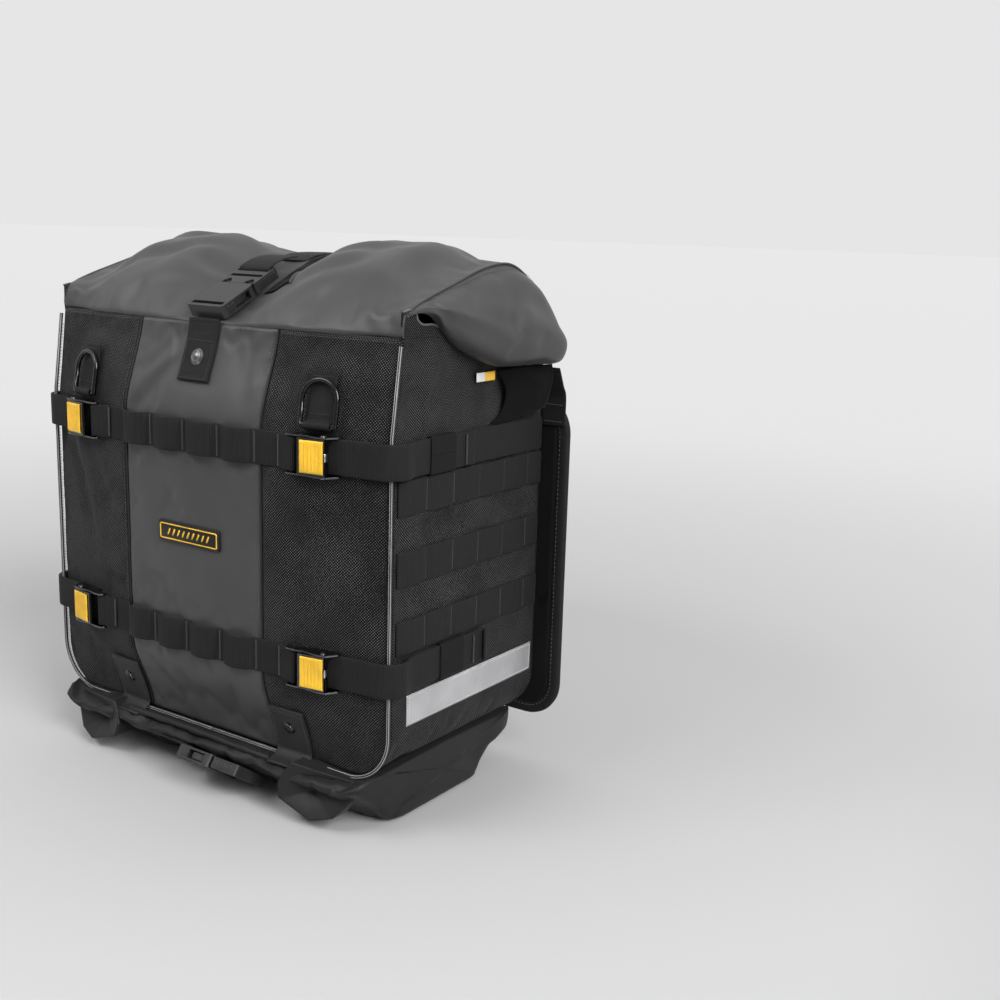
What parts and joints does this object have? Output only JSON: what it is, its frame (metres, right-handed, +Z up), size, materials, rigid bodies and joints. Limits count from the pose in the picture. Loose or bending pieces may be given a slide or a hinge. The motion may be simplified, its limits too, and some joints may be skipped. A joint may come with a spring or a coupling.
{
  "type": "soft motorcycle saddlebag",
  "caption": "Soft boxy motorcycle saddlebag with a rolled top, cam-buckle compression straps, webbing rows on the sides and a lower pouch.",
  "frame": {"origin": "middle of the bounding box, on the surface the bag stands on", "axes": "+X to the right seen from the front, +Y back towards the motorcycle, +Z up"},
  "size_m": [0.5046, 0.2768, 0.503],
  "materials": {
    "coated_fabric": "coated, satin",
    "woven_fabric": "coarse ballistic weave",
    "stiffener": "matte sheet",
    "webbing": "ribbed webbing",
    "elastic": "elastic band",
    "buckle_plastic": "satin moulded",
    "black_metal": "gloss black",
    "steel": "bright",
    "yellow_pad": "satin",
    "reflective": "reflective tape",
    "piping": "reflective piping",
    "badge_rubber": "moulded"
  },
  "bodies": {
    "root": {"front_center_panel": "coated_fabric", "front_left_panel": "woven_fabric", "front_right_panel": "woven_fabric", "left_side_panel": "woven_fabric", "right_side_panel": "woven_fabric", "base_panel": "woven_fabric", "back_panel": "woven_fabric", "base_stiffener": "stiffener", "backboard_core": "stiffener", "backboard_cover": "woven_fabric", "backboard_binding": "webbing", "rack_loops": "webbing", "roll_top_cover": "coated_fabric", "roll_end_left": "coated_fabric", "roll_end_right": "coated_fabric", "mouth_stiffener": "stiffener", "roll_straps": "webbing", "closure_tab": "webbing", "closure_snap": "steel", "closure_buckle_female": "buckle_plastic", "closure_strap": "webbing", "straps_left": "webbing", "straps_right": "webbing", "buckle_frames": "black_metal", "cam_pins": "steel", "cam_springs": "steel", "daisy_upper": "webbing", "daisy_lower": "webbing", "d_ring_tabs": "webbing", "molle_rows": "webbing", "reflective_strips": "reflective", "badge": "badge_rubber", "side_tag": "yellow_pad", "piping": "piping", "pouch_body": "woven_fabric", "pouch_tabs": "woven_fabric", "rivets": "black_metal", "pouch_strap": "webbing", "pouch_buckle_female": "buckle_plastic"},
    "cam_upper_left": {"cam_lever_upper_left": "black_metal", "lever_pad_upper_left": "yellow_pad"},
    "keeper_upper_left": {"keeper_upper_left": "elastic"},
    "cam_upper_right": {"cam_lever_upper_right": "black_metal", "lever_pad_upper_right": "yellow_pad"},
    "keeper_upper_right": {"keeper_upper_right": "elastic"},
    "cam_lower_left": {"cam_lever_lower_left": "black_metal", "lever_pad_lower_left": "yellow_pad"},
    "keeper_lower_left": {"keeper_lower_left": "elastic"},
    "cam_lower_right": {"cam_lever_lower_right": "black_metal", "lever_pad_lower_right": "yellow_pad"},
    "keeper_lower_right": {"keeper_lower_right": "elastic"},
    "ring_left": {"d_ring_left": "black_metal"},
    "ring_right": {"d_ring_right": "black_metal"},
    "closure_plug": {"closure_buckle_male": "buckle_plastic", "closure_strap_end": "webbing"},
    "closure_prong_left": {"closure_prong_left": "buckle_plastic"},
    "closure_prong_right": {"closure_prong_right": "buckle_plastic"},
    "pouch_plug": {"pouch_buckle_male": "buckle_plastic"},
    "pouch_prong_upper": {"pouch_prong_upper": "buckle_plastic"},
    "pouch_prong_lower": {"pouch_prong_lower": "buckle_plastic"}
  },
  "joints": [
    {"name": "cam_lever_upper_left", "type": "hinge", "parent": "root", "child": "cam_upper_left", "pos_m": [-0.15858, -0.11991, 0.3305], "axis": [0, 0, -1], "range_deg": [0, 40], "stiffness_Nm_per_rad": 0.06, "springref_deg": -11.46},
    {"name": "cam_lever_upper_right", "type": "hinge", "parent": "root", "child": "cam_upper_right", "pos_m": [0.15858, -0.11991, 0.3305], "axis": [0, 0, 1], "range_deg": [0, 40], "stiffness_Nm_per_rad": 0.06, "springref_deg": -11.46},
    {"name": "cam_lever_lower_left", "type": "hinge", "parent": "root", "child": "cam_lower_left", "pos_m": [-0.15858, -0.11991, 0.1455], "axis": [0, 0, -1], "range_deg": [0, 40], "stiffness_Nm_per_rad": 0.06, "springref_deg": -11.46},
    {"name": "cam_lever_lower_right", "type": "hinge", "parent": "root", "child": "cam_lower_right", "pos_m": [0.15858, -0.11991, 0.1455], "axis": [0, 0, 1], "range_deg": [0, 40], "stiffness_Nm_per_rad": 0.06, "springref_deg": -11.46},
    {"name": "keeper_upper_left", "type": "slide", "parent": "root", "child": "keeper_upper_left", "axis": [0, 1, 0], "range_m": [-0.012, 0.026]},
    {"name": "keeper_upper_right", "type": "slide", "parent": "root", "child": "keeper_upper_right", "axis": [0, 1, 0], "range_m": [-0.012, 0.026]},
    {"name": "keeper_lower_left", "type": "slide", "parent": "root", "child": "keeper_lower_left", "axis": [0, 1, 0], "range_m": [-0.02, 0.025]},
    {"name": "keeper_lower_right", "type": "slide", "parent": "root", "child": "keeper_lower_right", "axis": [0, 1, 0], "range_m": [-0.02, 0.025]},
    {"name": "d_ring_left", "type": "hinge", "parent": "root", "child": "ring_left", "pos_m": [-0.14785, -0.11528, 0.35485], "axis": [0.9861, -0.1664, 0], "range_deg": [0, 95]},
    {"name": "d_ring_right", "type": "hinge", "parent": "root", "child": "ring_right", "pos_m": [0.14785, -0.11528, 0.35485], "axis": [0.9861, 0.1664, 0], "range_deg": [0, 95]},
    {"name": "closure_plug_slide", "type": "slide", "parent": "root", "child": "closure_plug", "axis": [0, 0.891, 0.454], "range_m": [0, 0.028]},
    {"name": "closure_prong_left", "type": "hinge", "parent": "closure_plug", "child": "closure_prong_left", "pos_m": [-0.014, -0.05475, 0.45972], "axis": [0, -0.454, 0.891], "range_deg": [0, 7]},
    {"name": "closure_prong_right", "type": "hinge", "parent": "closure_plug", "child": "closure_prong_right", "pos_m": [0.014, -0.05475, 0.45972], "axis": [0, 0.454, -0.891], "range_deg": [0, 7]},
    {"name": "pouch_plug_slide", "type": "slide", "parent": "root", "child": "pouch_plug", "axis": [1, 0, 0], "range_m": [0, 0.028]},
    {"name": "pouch_prong_upper", "type": "hinge", "parent": "pouch_plug", "child": "pouch_prong_upper", "pos_m": [0.04, -0.12757, 0.03303], "axis": [0, -0.5736, -0.8192], "range_deg": [0, 7]},
    {"name": "pouch_prong_lower", "type": "hinge", "parent": "pouch_plug", "child": "pouch_prong_lower", "pos_m": [0.04, -0.10463, 0.01697], "axis": [0, 0.5736, 0.8192], "range_deg": [0, 7]}
  ],
  "couplings": [
    {"joint": "closure_prong_left", "follows": "closure_plug_slide", "rad_per_m": 4.3},
    {"joint": "closure_prong_right", "follows": "closure_plug_slide", "rad_per_m": 4.3},
    {"joint": "pouch_prong_upper", "follows": "pouch_plug_slide", "rad_per_m": 4.3},
    {"joint": "pouch_prong_lower", "follows": "pouch_plug_slide", "rad_per_m": 4.3}
  ]
}
